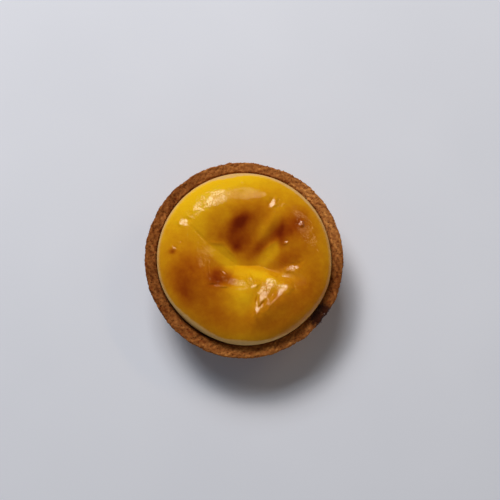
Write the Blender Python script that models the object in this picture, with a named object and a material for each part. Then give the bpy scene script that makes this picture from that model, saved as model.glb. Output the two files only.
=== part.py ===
"""A small baked cheese tart: a shortcrust shell filled with cheese custard.

The shell is a tapered pastry cup with a thick, craggy rim. The custard stands over the rim
in a round dome whose middle has sunk into a creased basin, nearer one side than the other.

Metres, +Z up. The origin is the centre of the base, and -Y faces the viewer.
"""

import math

import bmesh
import bpy
import numpy as np

# Shell, a turned cup. Radii are measured from its axis.
RIM_RADIUS = 0.0349
RIM_HEIGHT = 0.0200
RIM_WIDTH = 0.00415
RIM_ROUNDING = 0.0009
INNER_ROUNDING = 0.0005
BASE_RADIUS = 0.0270
BASE_CORNER = 0.0024
FLOOR_THICKNESS = 0.0040
CAVITY_CORNER = 0.0020
SHELL_SEGMENTS = 144
WALL_STATIONS = 7

# Crags of the shell: how many waves run round it, and how deep they are together.
CRAG_WAVES = (3, 5, 8, 13, 21, 29, 37)
CRAG_SEED = 7
CRAG_FADE = 0.35  # how much weaker the short waves are than the long ones
RIM_CRAG_DEPTH = 0.00045
WALL_CRAG_DEPTH = 0.00025
CRAG_LEAN = math.pi  # how far the waves shift from the base to the rim

# The rim isn't quite round: waves round it, how far they reach out, and a crest's bearing.
RIM_SWAY = (
    (1, 0.00030, math.radians(-102)),
    (2, 0.00017, math.radians(-27)),
)

# One place on the rim has crumbled away a little.
CHIP_BEARING = math.radians(-38)
CHIP_SPREAD = math.radians(7)
CHIP_DEPTH = 0.0003

# Custard. It keeps this gap to the shell, so the two solids never touch.
GAP = 0.0003
CUSTARD_CENTRE = (-0.00005, -0.00045)
CUSTARD_RADIUS = 0.0303
SHOULDER_HEIGHT = 0.0218  # where the custard is widest, over the rim
NECK_HEIGHT = 0.0184  # where it comes out of the shell
DOME_RISE = 0.0070
DOME_FULLNESS = 2.8  # 2 is an ellipse, more is flatter with a rounder shoulder
CUSTARD_SEGMENTS = 128
DOME_RINGS = 20

# The custard's outline is a little flat on one side.
FLAT_SIDE_BEARING = math.radians(232)
FLAT_SIDE_SPREAD = math.radians(26)
FLAT_SIDE_DEPTH = 0.0011

# The basin hangs from a short level crease. Flat facets climb from it and meet in valleys
# or ridges, each given by its bearing in degrees and how steeply it climbs.
BASIN_MIDDLE = (0.0012, -0.0031)
BASIN_DEPTH = 0.0062
CREASE_HALF_LENGTH = 0.0038
CREASE_SOFTNESS = 0.0008
FACET_EDGES = (
    (42, 0.44),
    (66, 0.43),
    (95, 0.37),
    (143, 0.33),
    (187, 0.58),
    (250, 0.92),
    (295, 0.80),
    (340, 0.36),
)
FACET_EDGE_SPREAD = 3.0
SHARPEST_BROW = 1.10  # 1 would be a hard corner where a facet meets the dome

# How far the sunken ground runs from the crease, by bearing in degrees.
BASIN_REACH = (
    (0, 0.0170),
    (42, 0.0162),
    (66, 0.0186),
    (95, 0.0217),
    (120, 0.0217),
    (143, 0.0218),
    (165, 0.0158),
    (187, 0.0130),
    (217, 0.0114),
    (250, 0.0100),
    (275, 0.0123),
    (295, 0.0169),
    (320, 0.0192),
    (340, 0.0190),
)
REACH_SPREAD = 14.0

# Swellings (or hollows, where the rise is negative) of the custard's top: middle, rise,
# length, width, and the bearing of the length in degrees.
SWELLINGS = (
    ((0.0084, 0.0098), 0.0006, 0.0055, 0.0019, 58),
    ((0.0005, 0.0070), -0.0009, 0.0070, 0.0060, 90),
    ((0.0130, 0.0088), -0.0005, 0.0045, 0.0030, 40),
    ((0.0113, -0.0165), 0.0011, 0.0085, 0.0046, 44),
    ((0.0165, -0.0215), 0.0006, 0.0090, 0.0055, 42),
    ((-0.0155, -0.0090), 0.0011, 0.0110, 0.0053, 118),
    ((0.0100, -0.0052), -0.0006, 0.0044, 0.0024, 12),
    ((0.0180, 0.0074), 0.0004, 0.0070, 0.0034, 114),
)


def eased(value, low, high):
    """0 at low and 1 at high, with a smooth start and end."""
    share = np.clip((value - low) / (high - low), 0.0, 1.0)
    return share * share * (3 - 2 * share)


def nearness(bearings, centre, spread):
    """1 at the centre bearing, fading to 0 with the given spread."""
    away = np.abs((bearings - centre + math.pi) % math.tau - math.pi) / spread
    return np.exp(-away * away)


def crag_wave(bearings, seed, turn):
    """A closed rough line round the shell, within -1 and 1, that changes with turn."""
    draw = np.random.default_rng(seed)
    total = np.zeros_like(bearings)
    most = 0.0
    for waves in CRAG_WAVES:
        share = draw.uniform(0.4, 1.0) / waves**CRAG_FADE
        phase = draw.uniform(0.0, math.tau)
        drift = draw.uniform(-1.0, 1.0)
        total += share * np.sin(waves * bearings + phase + drift * turn)
        most += share
    return total / most


def wall_radius(height):
    """Radius of the shell's outer wall, which leans out from the base to the rim."""
    foot = BASE_RADIUS + BASE_CORNER
    return foot + (RIM_RADIUS - foot) * (height - BASE_CORNER) / (RIM_HEIGHT - BASE_CORNER)


def cavity_radius(height):
    return wall_radius(height) - RIM_WIDTH


def arc(centre, radius, start, end, steps):
    """Points (radius, height) on a round corner of the profile, by angle in degrees."""
    angles = np.radians(np.linspace(start, end, steps))
    return [(centre[0] + radius * math.cos(a), centre[1] + radius * math.sin(a)) for a in angles]


def shell_profile():
    """The shell's section from under its base, up outside and down inside.

    Each station is a radius, a height, and its share of the crags.
    """
    crown = RIM_HEIGHT - RIM_ROUNDING
    outer_turn = (RIM_RADIUS - RIM_ROUNDING, crown)
    inner_crown = RIM_HEIGHT - INNER_ROUNDING
    inner_turn = (RIM_RADIUS - RIM_WIDTH + INNER_ROUNDING, inner_crown)
    corner_height = FLOOR_THICKNESS + CAVITY_CORNER
    cavity_turn = (cavity_radius(corner_height) - CAVITY_CORNER, corner_height)
    wall = np.linspace(BASE_CORNER * 1.4, crown - RIM_ROUNDING, WALL_STATIONS)

    stations = [(BASE_RADIUS / 2, 0.0, 0.0), (BASE_RADIUS, 0.0, 0.0)]
    stations += [(*p, 0.3) for p in arc((BASE_RADIUS, BASE_CORNER), BASE_CORNER, -60, 0, 3)]
    stations += [(wall_radius(height), height, 0.6) for height in wall]
    stations += [(*p, 1.0) for p in arc(outer_turn, RIM_ROUNDING, 10, 80, 3)]
    stations += [(RIM_RADIUS - RIM_WIDTH / 2, RIM_HEIGHT, 1.0)]
    stations += [(*p, 0.4) for p in arc(inner_turn, INNER_ROUNDING, 100, 160, 3)]
    stations += [(cavity_radius(h), h, 0.0) for h in (crown - RIM_ROUNDING, corner_height)]
    stations += [(*p, 0.0) for p in arc(cavity_turn, CAVITY_CORNER, -25, -90, 3)]
    return stations


def rim_sway(bearings):
    """How far the rim stands out of round."""
    return sum(reach * np.cos(waves * (bearings - crest)) for waves, reach, crest in RIM_SWAY)


def shell_ring(bearings, radius, height, roughness):
    """One station of the profile carried round the shell, with its crags and the chip."""
    turn = CRAG_LEAN * height / RIM_HEIGHT
    at_rim = eased(height, RIM_HEIGHT - 4 * RIM_ROUNDING, RIM_HEIGHT)
    outside = eased(radius, RIM_RADIUS - RIM_WIDTH, RIM_RADIUS)
    chip = CHIP_DEPTH * nearness(bearings, CHIP_BEARING, CHIP_SPREAD) * at_rim
    depth = WALL_CRAG_DEPTH + (RIM_CRAG_DEPTH - WALL_CRAG_DEPTH) * at_rim
    reach = depth * crag_wave(bearings, CRAG_SEED, turn) - chip * outside
    rise = RIM_CRAG_DEPTH * at_rim * crag_wave(bearings, CRAG_SEED + 1, turn) - chip
    around = radius + rim_sway(bearings) * outside + roughness * reach
    heights = height + roughness * rise
    return np.stack((around * np.cos(bearings), around * np.sin(bearings), heights), axis=1)


def custard_outline(bearings):
    """Radius of the custard's shoulder, from the custard's own middle."""
    flat = nearness(bearings, FLAT_SIDE_BEARING, FLAT_SIDE_SPREAD)
    return CUSTARD_RADIUS - FLAT_SIDE_DEPTH * flat


def facet_slope(degrees):
    """How steeply the basin climbs from the crease along a bearing.

    Between two edges the ground is a flat facet, so the slope follows its tilt.
    """
    slope = np.zeros_like(degrees)
    following = FACET_EDGES[1:] + FACET_EDGES[:1]
    for (start, first), (end, second) in zip(FACET_EDGES, following):
        span = math.radians((end - start) % 360)
        along = np.radians((degrees - start) % 360)
        tilt = (first * np.sin(span - along) + second * np.sin(along)) / math.sin(span)
        slope = np.where(along < span, tilt, slope)
    return slope


def basin_reach(degrees):
    bearings, reaches = zip(*BASIN_REACH)
    offsets = np.linspace(-REACH_SPREAD, REACH_SPREAD, 5)
    readings = [np.interp(degrees + o, bearings, reaches, period=360) for o in offsets]
    return np.mean(readings, axis=0)


def overhang(distance):
    """The distance where it is positive and 0 elsewhere, with a soft bend between."""
    return (distance + np.sqrt(distance**2 + CREASE_SOFTNESS**2)) / 2


def basin_sink(x, y):
    """How far the custard's top has sunk under the full dome at a point."""
    along = x - BASIN_MIDDLE[0]
    east = overhang(along - CREASE_HALF_LENGTH) - overhang(-along - CREASE_HALF_LENGTH)
    north = y - BASIN_MIDDLE[1]
    degrees = np.degrees(np.arctan2(north, east)) % 360
    offsets = (-FACET_EDGE_SPREAD, 0.0, FACET_EDGE_SPREAD)
    slope = np.mean([facet_slope((degrees + o) % 360) for o in offsets], axis=0)
    reach = basin_reach(degrees)
    share = np.clip(np.hypot(east, north) / reach, 0.0, 1.0)
    brow = np.maximum(slope * reach / BASIN_DEPTH, SHARPEST_BROW)
    return BASIN_DEPTH * (1 - share) ** brow


def swelling(x, y, middle, rise, length, width, bearing):
    cosine = math.cos(math.radians(bearing))
    sine = math.sin(math.radians(bearing))
    east = x - middle[0]
    north = y - middle[1]
    along = (east * cosine + north * sine) / length
    across = (north * cosine - east * sine) / width
    return rise * np.exp(-(along**2) - across**2)


def custard_height(x, y):
    """Height of the custard's top over the base."""
    east = x - CUSTARD_CENTRE[0]
    north = y - CUSTARD_CENTRE[1]
    share = np.hypot(east, north) / custard_outline(np.arctan2(north, east))
    full = np.sqrt(np.clip(1 - share**DOME_FULLNESS, 0.0, 1.0))
    height = SHOULDER_HEIGHT + DOME_RISE * full - basin_sink(x, y)
    for shape in SWELLINGS:
        height = height + swelling(x, y, *shape) * eased(full, 0.0, 0.6)
    return height


def level_ring(outline, height):
    return np.column_stack((outline, np.full(len(outline), height)))


def custard_rings():
    """Closed rings of points for the custard, from under its middle up to the basin."""
    bearings = np.linspace(0, math.tau, CUSTARD_SEGMENTS, endpoint=False)
    directions = np.stack((np.cos(bearings), np.sin(bearings)), axis=1)
    bottom = FLOOR_THICKNESS + GAP
    corner_top = FLOOR_THICKNESS + CAVITY_CORNER
    middle_height = (corner_top + NECK_HEIGHT) / 2
    rings = [level_ring(directions * (cavity_radius(bottom) - GAP - CAVITY_CORNER), bottom)]
    for height in (corner_top, middle_height, NECK_HEIGHT):
        rings.append(level_ring(directions * (cavity_radius(height) - GAP), height))
    shoulder = np.array(CUSTARD_CENTRE) + custard_outline(bearings)[:, None] * directions
    rings.append(level_ring(shoulder, SHOULDER_HEIGHT))
    middle = np.array(BASIN_MIDDLE)
    for step in np.linspace(0, 1, DOME_RINGS + 1)[1:-1]:
        inward = 0.35 * step + 0.65 * eased(step, 0.0, 1.0)
        x, y = (shoulder + (middle - shoulder) * inward).T
        rings.append(np.stack((x, y, custard_height(x, y)), axis=1))
    return rings


def closed_mesh(name, rings, first_pole, last_pole):
    """A smooth mesh through the rings in order, closed by a fan at each end."""
    mesh = bmesh.new()
    loops = [[mesh.verts.new(point) for point in ring] for ring in rings]
    first = mesh.verts.new(first_pole)
    last = mesh.verts.new(last_pole)
    count = len(loops[0])
    for lower, upper in zip(loops, loops[1:]):
        for i in range(count):
            j = (i + 1) % count
            mesh.faces.new((lower[i], lower[j], upper[j], upper[i]))
    for i in range(count):
        j = (i + 1) % count
        mesh.faces.new((first, loops[0][j], loops[0][i]))
        mesh.faces.new((last, loops[-1][i], loops[-1][j]))
    data = bpy.data.meshes.new(name)
    mesh.to_mesh(data)
    mesh.free()
    data.shade_smooth()
    return data


def plain_material(name, colour, roughness):
    material = bpy.data.materials.new(name)
    material.use_nodes = True
    surface = material.node_tree.nodes["Principled BSDF"]
    surface.inputs["Base Color"].default_value = (*colour, 1.0)
    surface.inputs["Roughness"].default_value = roughness
    surface.inputs["Metallic"].default_value = 0.0
    return material


def place(data, material):
    data.materials.append(material)
    piece = bpy.data.objects.new(data.name, data)
    bpy.context.scene.collection.objects.link(piece)


def make_shell():
    bearings = np.linspace(0, math.tau, SHELL_SEGMENTS, endpoint=False)
    rings = [shell_ring(bearings, *station) for station in shell_profile()]
    data = closed_mesh("tart_shell", rings, (0, 0, 0), (0, 0, FLOOR_THICKNESS))
    place(data, plain_material("shortcrust", (0.30, 0.12, 0.04), 0.85))


def make_custard():
    under = (0, 0, FLOOR_THICKNESS + GAP)
    x, y = np.array(BASIN_MIDDLE)
    lowest = (x, y, float(custard_height(x, y)))
    data = closed_mesh("cheese_filling", custard_rings(), under, lowest)
    place(data, plain_material("custard", (0.70, 0.36, 0.01), 0.3))


def main():
    for old in list(bpy.data.objects):
        bpy.data.objects.remove(old)
    make_shell()
    make_custard()


main()
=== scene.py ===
import math

import bpy
import numpy as np
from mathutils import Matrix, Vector


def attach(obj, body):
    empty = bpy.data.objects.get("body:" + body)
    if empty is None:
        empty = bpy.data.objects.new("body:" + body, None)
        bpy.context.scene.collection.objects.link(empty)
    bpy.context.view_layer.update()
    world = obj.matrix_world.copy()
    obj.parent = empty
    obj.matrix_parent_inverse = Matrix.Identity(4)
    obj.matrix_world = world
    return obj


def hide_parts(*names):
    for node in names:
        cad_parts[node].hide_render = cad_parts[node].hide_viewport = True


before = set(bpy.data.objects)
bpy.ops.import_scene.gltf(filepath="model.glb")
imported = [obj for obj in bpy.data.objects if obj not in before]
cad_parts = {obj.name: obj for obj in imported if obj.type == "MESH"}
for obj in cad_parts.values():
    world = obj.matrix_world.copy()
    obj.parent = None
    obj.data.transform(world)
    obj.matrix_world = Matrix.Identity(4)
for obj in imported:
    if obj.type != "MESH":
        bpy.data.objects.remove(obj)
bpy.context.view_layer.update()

# A small baked cheese tart. Metres, +Z up: the origin is the centre of the base, and -Y faces
# the viewer.
MM = 0.001

# ---------------------------------------------------------------- sizes shared with the solids

# Shell, a turned cup. Radii are measured from its axis.
RIM_RADIUS = 34.9 * MM
RIM_HEIGHT = 20.0 * MM
RIM_WIDTH = 4.15 * MM
RIM_ROUNDING = 0.9 * MM
INNER_ROUNDING = 0.5 * MM
BASE_RADIUS = 27.0 * MM
BASE_CORNER = 2.4 * MM
FLOOR_THICKNESS = 4.0 * MM
CAVITY_CORNER = 2.0 * MM

# The crags are a sum of waves round the shell, of uneven shares.
CRAG_WAVES = (3, 5, 8, 13, 21, 29, 37)
CRAG_SHARES = (0.4, 1.0)
CRAG_SEED = 7
CRAG_FADE = 0.35  # how much weaker the short waves are than the long ones
RIM_CRAG_DEPTH = 0.45 * MM
WALL_CRAG_DEPTH = 0.25 * MM
CRAG_LEAN = math.pi  # how far the waves shift from the base to the rim
CRAG_ZONE = 4 * RIM_ROUNDING  # how far under the rim the wall's crags start to deepen

# The share of the crags that shows at the foot, on the wall and at the rim's inner edge.
FOOT_CRAGS = 0.3
WALL_CRAGS = 0.6
INNER_EDGE_CRAGS = 0.4

# The rim isn't quite round: waves round it, how far they reach out, and a crest's bearing.
RIM_SWAY = (
    (1, 0.30 * MM, math.radians(-102)),
    (2, 0.17 * MM, math.radians(-27)),
)

# One place on the rim has crumbled away a little.
CHIP_BEARING = math.radians(-38)
CHIP_SPREAD = math.radians(7)
CHIP_DEPTH = 0.3 * MM

# Custard. It keeps this gap to the shell.
GAP = 0.3 * MM
CUSTARD_CENTRE = (-0.05 * MM, -0.45 * MM)
CUSTARD_RADIUS = 30.3 * MM
SHOULDER_HEIGHT = 21.8 * MM  # where the custard is widest, over the rim
NECK_HEIGHT = 18.4 * MM  # where it comes out of the shell
DOME_RISE = 7.0 * MM
DOME_FULLNESS = 2.8  # 2 is an ellipse, more is flatter with a rounder shoulder

# The custard's outline is a little flat on one side.
FLAT_SIDE_BEARING = math.radians(232)
FLAT_SIDE_SPREAD = math.radians(26)
FLAT_SIDE_DEPTH = 1.1 * MM

# The basin hangs from a short level crease. Flat facets climb from it, each edge given by its
# bearing in degrees and how steeply it climbs.
BASIN_MIDDLE = (1.2 * MM, -3.1 * MM)
BASIN_DEPTH = 6.2 * MM
CREASE_HALF_LENGTH = 3.8 * MM
CREASE_SOFTNESS = 0.8 * MM
FACET_EDGES = (
    (42, 0.44), (66, 0.43), (95, 0.37), (143, 0.33), (187, 0.58), (250, 0.92), (295, 0.80),
    (340, 0.36),
)
FACET_EDGE_SPREAD = 3.0
SHARPEST_BROW = 1.10  # 1 would be a hard corner where a facet meets the dome

# How far the sunken ground runs from the crease, by bearing in degrees, in mm.
BASIN_REACH = (
    (0, 17.0), (42, 16.2), (66, 18.6), (95, 21.7), (120, 21.7), (143, 21.8), (165, 15.8),
    (187, 13.0), (217, 11.4), (250, 10.0), (275, 12.3), (295, 16.9), (320, 19.2),
    (340, 19.0),
)
# It is smoothed over so many degrees to either side, by so many readings.
REACH_SPREAD = 14.0
REACH_READINGS = 5

# Swellings of the custard's top in mm: middle, rise, length, width, bearing in degrees.
SWELLINGS = (
    ((8.4, 9.8), 0.6, 5.5, 1.9, 58),
    ((0.5, 7.0), -0.9, 7.0, 6.0, 90),
    ((13.0, 8.8), -0.5, 4.5, 3.0, 40),
    ((11.3, -16.5), 1.1, 8.5, 4.6, 44),
    ((16.5, -21.5), 0.6, 9.0, 5.5, 42),
    ((-15.5, -9.0), 1.1, 11.0, 5.3, 118),
    ((10.0, -5.2), -0.6, 4.4, 2.4, 12),
    ((18.0, 7.4), 0.4, 7.0, 3.4, 114),
)
# They grow in from the custard's edge, and are whole where the dome has this share of its rise.
SWELLINGS_WHOLE = 0.6

# ---------------------------------------------------------------- fine form, for looks alone

# How finely the shell is meshed. Its inside is coarse behind the custard.
CRUST_SEGMENTS = 720
CRUST_STEP = 0.34 * MM
BASE_STEPS = 14
SMALLEST_RING = 2.0 * MM
WALL_START = 1.3 * BASE_CORNER
RIM_STEPS = 6
RIM_INSET = 0.2 * MM
SEEN_INSIDE = 5.0 * MM
UNSEEN_STEPS = 6

# How finely the custard is meshed. A share of the dome's rings is evenly spaced, and the rest
# crowd towards its edge and its basin.
CUSTARD_SEGMENTS = 500
SIDE_RINGS = 5
LIP_RINGS = 8
DOME_RINGS = 172
EVEN_SPACING = 0.35

# An uneven drift is a sum of waves, of lengths between these shares of its size.
DRIFT_WAVES = 9
DRIFT_SIZES = (0.7, 1.6)

# Where the baked custard leans out to the rim.
LEAN_BEARING = math.radians(-17)
LEAN_SPREAD = math.radians(18)
LEAN_DEPTH = 0.45 * MM

# Where the taut glaze pulls the custard up and down, as SWELLINGS.
PULLS = (
    ((13.4, -13.6), 0.75, 5.5, 4.0, 60),
    ((4.4, -15.0), -0.6, 4.5, 2.6, 75),
    ((6.3, -20.6), 0.8, 5.0, 2.8, 50),
    ((17.0, -2.6), -0.25, 3.4, 1.6, 24),
    ((15.9, -6.0), 0.25, 3.4, 1.6, 24),
)

# Small folds of the glaze, as SWELLINGS.
FOLDS = (
    ((-12.6, -5.6), 0.08, 4.0, 0.5, 94),
    ((-11.5, -6.2), -0.07, 3.2, 0.35, 98),
    ((-8.3, -10.9), 0.05, 4.0, 0.8, -4),
    ((-15.4, 7.2), -0.22, 4.2, 0.5, -44),
    ((-9.4, 4.3), 0.2, 2.4, 0.6, -3),
    ((-4.9, 1.7), 0.18, 3.4, 0.6, -45),
    ((9.2, 3.7), 0.16, 3.2, 0.6, 32),
    ((9.75, -13.9), -0.45, 2.3, 0.85, 66),
    ((8.3, -11.9), -0.05, 1.2, 0.4, 140),
)

# Taut glassy flats of the glaze. Each plane climbs so much east and north from a place in mm,
# and shows in soft ovals: middle, length and width in mm, and bearing in degrees.
FLATS = (
    (
        (9.3, -13.0),
        (0.182, -0.296),
        (
            ((9.5, -9.7), 3.2, 2.6, 120),
            ((12.5, -11.8), 4.2, 2.4, 28),
            ((7.1, -14.3), 5.0, 3.0, 72),
            ((10.4, -15.2), 3.8, 0.55, 56),
        ),
    ),
    ((5.0, -18.0), (0.170, -0.309), (((4.4, -17.8), 3.6, 0.6, 88), ((5.5, -18.2), 3.0, 0.7, 53))),
    ((16.5, -4.25), (0.198, -0.278), (((16.5, -4.25), 3.2, 1.2, 24),)),
    ((14.25, -7.2), (0.192, -0.284), (((14.25, -7.2), 1.7, 0.7, -20),)),
    (
        (2.6, -9.2),
        (0.164, -0.291),
        (((1.1, -9.2), 1.5, 0.9, 0), ((2.4, -8.9), 2.6, 0.8, 105), ((3.8, -10.6), 1.6, 0.8, 25)),
    ),
    ((-2.7, -9.2), (0.030, -0.300), (((-2.2, -9.4), 4.6, 1.9, -6),)),
    ((-20.9, 11.6), (0.112, -0.248), (((-20.9, 11.6), 2.2, 1.7, 10),)),
    ((-16.2, 16.8), (0.124, -0.236), (((-16.2, 16.8), 2.5, 1.3, 45),)),
    ((-12.2, 19.6), (0.133, -0.231), (((-12.2, 19.6), 1.8, 0.9, 36),)),
    ((-8.3, 22.0), (0.143, -0.226), (((-8.3, 22.0), 2.5, 1.3, 25),)),
    ((-11.7, -5.5), (0.132, -0.283), (((-11.7, -5.5), 2.8, 0.35, 94),)),
    ((-6.9, -5.9), (0.140, -0.284), (((-6.9, -5.9), 1.2, 0.4, -30),)),
    ((-8.5, -10.7), (0.002, -0.306), (((-8.5, -10.7), 3.0, 0.6, -4),)),
    ((3.5, 21.2), (0.018, -0.243), (((3.5, 21.2), 6.5, 2.4, -2),)),
    ((10.0, 18.1), (0.185, -0.231), (((10.0, 18.1), 2.3, 1.3, 55),)),
    ((13.2, 17.6), (0.060, -0.245), (((13.2, 17.6), 1.2, 0.6, 40),)),
    ((14.5, 4.5), (0.194, -0.260), (((14.5, 4.5), 1.0, 0.8, 30),)),
    ((19.5, 11.1), (0.207, -0.245), (((19.5, 11.1), 1.4, 1.1, 60),)),
    ((-24.0, 2.5), (0.105, -0.266), (((-24.0, 2.5), 1.2, 0.5, -20),)),
    ((-22.1, 4.5), (0.110, -0.266), (((-22.1, 4.5), 0.9, 0.4, 0),)),
)

# How ragged their edges are, as a share of their width, and the size of the lumps there. A flat
# that is wider than WIDE_FLAT counts as COUNTED_WIDTH wide, both in mm.
FLAT_RAGGEDNESS = 0.11
FLAT_LUMPS = 1.1 * MM
WIDE_FLAT = 1.0
COUNTED_WIDTH = 2.0
# The share of an oval where its flat begins, and where it is whole.
FLAT_EDGE = (0.08, 0.75)

# Pimples in mm: place, radius, height.
PIMPLES = (
    ((-0.5, 26.1), 0.55, 0.16),
    ((10.0, 18.0), 1.0, 0.16),
    ((19.5, 11.1), 0.8, 0.20),
    ((14.5, 4.5), 0.5, 0.12),
    ((-24.4, 1.9), 1.0, 0.22),
    ((-19.0, 5.6), 0.6, 0.06),
    ((23.5, 8.0), 0.7, 0.09),
    ((21.8, 10.2), 0.6, 0.08),
    ((21.1, 14.0), 0.5, 0.06),
    ((22.9, 6.4), 0.5, 0.07),
    ((22.3, 3.6), 0.5, 0.06),
    ((23.9, 9.9), 0.4, 0.05),
    ((25.6, 1.2), 0.5, 0.06),
)

# How far the glaze ends from the custard's edge, by bearing in degrees, in mm.
BARE_EDGE = (
    (0, 0.25), (25, 0.4), (42, 1.1), (60, 1.1), (75, 0.6), (90, 1.2), (97, 1.7), (104, 1.7),
    (111, 1.0), (124, 0.3), (140, 0.5), (165, 0.6), (190, 0.4), (210, 0.5), (226, 1.1),
    (242, 1.2), (255, 0.9), (268, 1.5), (282, 0.8), (300, 0.1), (320, 0.0), (340, -0.1),
)
# So far past the glaze's end all is bare, and so far inside it all is glazed.
FAR_OUT = 20.0 * MM

# Browned places in mm: middle, how dark, length, width, bearing in degrees.
BROWNING = (
    ((-1.3, 11.7), 0.73, 3.7, 2.1, 36),
    ((-3.6, 6.3), 0.43, 4.7, 3.1, -16),
    ((-2.7, 3.2), 0.42, 2.0, 1.8, -70),
    ((0.0, 8.1), 0.31, 11.2, 4.9, -80),
    ((5.2, 2.7), 0.40, 3.6, 1.9, 44),
    ((10.9, 7.6), 0.45, 4.2, 2.3, 48),
    ((12.9, 7.2), 0.35, 4.6, 1.4, -89),
    ((16.8, 9.7), 0.33, 5.8, 2.7, 52),
    ((19.2, 10.0), 0.31, 8.4, 6.1, -62),
    ((5.7, 14.7), 0.23, 5.7, 4.2, 69),
    ((-9.9, 8.6), 0.13, 9.8, 3.1, 85),
    ((14.6, -1.3), 0.33, 5.6, 3.2, 29),
    ((23.2, -4.9), 0.10, 11.2, 5.6, 83),
    ((-9.6, -7.3), 0.47, 3.5, 2.3, 83),
    ((-5.8, -8.1), 0.39, 3.2, 2.4, -8),
    ((-20.4, -12.4), 0.36, 5.5, 2.9, -63),
    ((-19.9, -4.5), 0.19, 6.0, 4.5, 21),
    ((-14.5, -11.2), 0.34, 15.4, 7.2, -60),
    ((-24.7, 1.3), 0.40, 1.2, 0.9, 0),
    ((17.1, -16.3), 0.26, 15.9, 8.6, 30),
    ((1.0, -23.6), 0.12, 19.3, 4.0, -7),
    ((-3.2, 27.6), -0.13, 28.0, 5.7, 29),
    ((8.9, -8.5), -0.11, 12.6, 1.8, -28),
    ((-0.5, -6.0), -0.06, 7.0, 2.2, 0),
    ((-1.0, -16.0), -0.08, 8.0, 4.5, 90),
    ((-26.0, -10.0), 0.08, 8.0, 3.0, -70),
)
PLAIN_BROWNING = 0.085
# How far their outlines wander, and in lumps of what size.
BROWNING_SHIFT = 0.15 * MM
BROWNING_LUMPS = 2.2 * MM

# Ovals on two folds where the browning is cut back, as BROWNING. Their edges are crisp.
YELLOW_CHEEKS = (
    ((-7.2, 0.0), 0.45, 6.2, 2.9, -36),
    ((8.5, 0.4), 0.40, 5.0, 2.5, 46),
)
CHEEK_EDGE = (0.15, 0.6)

# Where the glaze is more rippled than elsewhere, and where it is crinkled, as BROWNING.
RIPPLED = (
    ((-13.0, 19.0), 2.6, 8.0, 3.0, 38),
    ((-20.9, 11.6), 1.2, 2.5, 2.0, 0),
    ((21.5, 9.0), 2.6, 8.0, 3.0, 108),
    ((9.5, -12.5), 1.0, 7.0, 4.0, 50),
    ((16.5, -4.5), 1.6, 4.0, 2.0, 24),
    ((0.0, -9.4), 0.8, 6.0, 2.2, 0),
    ((-14.0, 1.5), 2.0, 6.0, 2.6, 108),
)
CRINKLED = (
    ((9.6, -13.0), 0.15, 6.0, 3.2, 52),
    ((2.5, -8.4), 0.3, 3.0, 1.8, 170),
    ((-7.0, -6.8), 0.5, 2.8, 2.0, -20),
)
PLAIN_RIPPLE = 0.45

# Where the glaze is grainy, as BROWNING.
GRAINY = (
    ((-13.0, 19.0), 2.1, 8.0, 3.4, 40),
    ((0.0, 21.2), 0.4, 9.0, 2.5, 0),
    ((-20.9, 11.6), 0.7, 3.0, 2.5, 0),
    ((9.5, -10.5), 2.2, 5.0, 3.0, 0),
    ((7.2, -14.5), 0.9, 5.0, 3.5, 70),
    ((16.5, -4.25), 1.6, 4.0, 2.0, 22),
    ((2.4, -9.2), 1.6, 3.0, 2.0, 0),
    ((-2.7, -9.2), 0.8, 5.0, 2.0, 0),
    ((22.0, 9.0), 0.9, 7.0, 3.5, 115),
    ((-14.0, 1.0), 0.9, 6.0, 2.6, 108),
)

# Where the glaze has sunk in and lost its gloss, as BROWNING.
DULL = (((9.5, -3.0), 1.0, 5.5, 1.6, -27), ((18.6, -8.2), 1.0, 2.6, 1.6, -30))

# The glaze's relief in the mesh: sizes and depths.
GLAZE_SIZES = {
    "Ripple": 2.0 * MM,
    "Ripple depth": 0.045 * MM,
    "Peel": 0.8 * MM,
    "Peel depth": 0.028 * MM,
    "Crinkle": 2.0 * MM,
    "Crinkle depth": 0.16 * MM,
}

# How pale the shell's crust is, by bearing in degrees: 0 is dark and 1 is sandy.
# It is partly the crust's own tone and partly painted light: the side in the tart's shade, about
# 250 to 300 degrees, is made paler in place of light.
PALENESS = (
    (0, 0.54), (15, 0.73), (45, 0.75), (75, 0.57), (90, 0.53), (105, 0.55), (120, 0.50),
    (131, 0.47), (139, 0.31), (147, 0.43), (195, 0.42), (225, 0.46), (250, 0.55),
    (270, 0.63), (300, 0.61), (330, 0.50), (345, 0.33),
)

# Streaks that run round the rim: waves round it, waves across its width, and strength. They
# wander in a few slow waves, and end on the wall a little under the rim.
STREAKS = ((23, 1.6, 0.06), (37, -2.1, 0.06), (59, 1.7, 0.05), (83, 2.6, 0.05))
STREAK_WANDER = 1.6
STREAK_WANDERINGS = 5
STREAKS_WHOLE = 1.0 * MM
STREAKS_END = 2.5 * MM

# The burnt place about the chip: it is whole over the rim's outer half, and singed round that.
SCORCH_BEARING = CHIP_BEARING + math.radians(1.5)
SCORCH_SPREAD = math.radians(6)
SCORCH_HEIGHT = 3.5 * MM
SCORCH_WHOLE = 0.6 * RIM_WIDTH
SCORCH_END = 1.3 * RIM_WIDTH
SINGE_SHARE = 0.35
SINGE_SPREAD = math.radians(14)

# The crust's skin: how rough its base is, up to what height it gets wholly rough outside, and
# how far under the rim it stays so and ends inside. A point within OUTSIDE_WIDTH is outside.
OUTSIDE_WIDTH = 0.75 * RIM_WIDTH
BASE_ROUGHNESS = 0.25
FOOT_HEIGHT = 1.5 * MM
SKIN_WHOLE = 4.0 * MM
SKIN_END = 6.0 * MM
CRUMBLY_SIZES = {
    "Grain": 0.9 * MM,
    "Grain depth": 0.20 * MM,
    "Pit": 1.5 * MM,
    "Pit depth": 0.29 * MM,
}
PIT_EDGE = (0.56, 0.74)
# How much painted shade a gap between grains takes next to a pit.
GAP_SHADE = 0.5

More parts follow.
